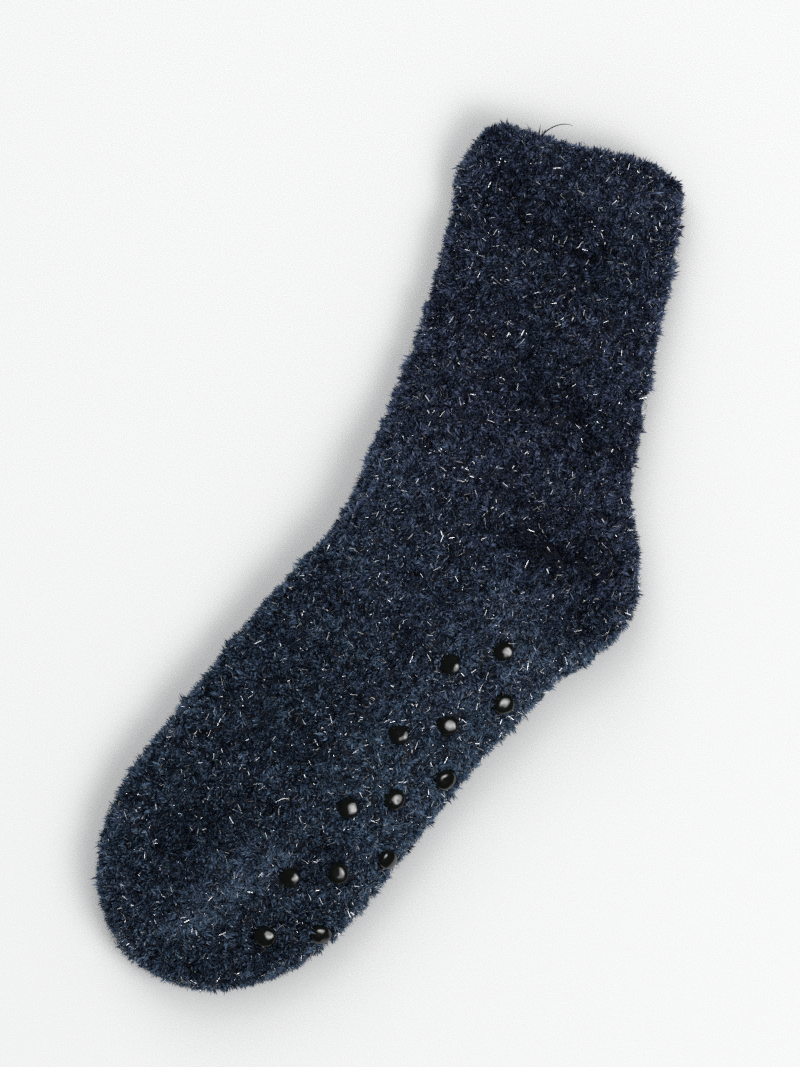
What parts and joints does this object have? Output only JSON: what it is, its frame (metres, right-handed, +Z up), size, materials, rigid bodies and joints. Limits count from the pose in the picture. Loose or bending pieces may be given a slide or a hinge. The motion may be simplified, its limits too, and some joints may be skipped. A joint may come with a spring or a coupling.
{
  "type": "slipper sock",
  "caption": "Fluffy knitted slipper sock lying slack on its side, with a turned cuff, a turned heel, a rounded toe and lines of shallow grip dots round its sole.",
  "frame": {"origin": "centre of the bounding box in plan, on the floor that the sock lies on", "axes": "+X from the cuff towards the toe, +Y from the instep's side towards the heel and sole, +Z up out of the side that faces the viewer"},
  "size_m": [0.3406, 0.1378, 0.0303],
  "materials": {
    "fluffy_knit": "navy cut pile with silver slivers",
    "grip_rubber": "glossy"
  },
  "bodies": {
    "root": {"knitted_sock": "fluffy_knit", "grip_dot_01": "grip_rubber", "grip_dot_02": "grip_rubber", "grip_dot_03": "grip_rubber", "grip_dot_04": "grip_rubber", "grip_dot_05": "grip_rubber", "grip_dot_06": "grip_rubber", "grip_dot_07": "grip_rubber", "grip_dot_08": "grip_rubber", "grip_dot_09": "grip_rubber", "grip_dot_10": "grip_rubber", "grip_dot_11": "grip_rubber", "grip_dot_12": "grip_rubber", "grip_dot_13": "grip_rubber", "grip_dot_14": "grip_rubber", "grip_dot_15": "grip_rubber", "grip_dot_16": "grip_rubber", "grip_dot_17": "grip_rubber", "grip_dot_18": "grip_rubber", "grip_dot_19": "grip_rubber", "grip_dot_20": "grip_rubber", "grip_dot_21": "grip_rubber", "grip_dot_22": "grip_rubber"}
  },
  "joints": []
}
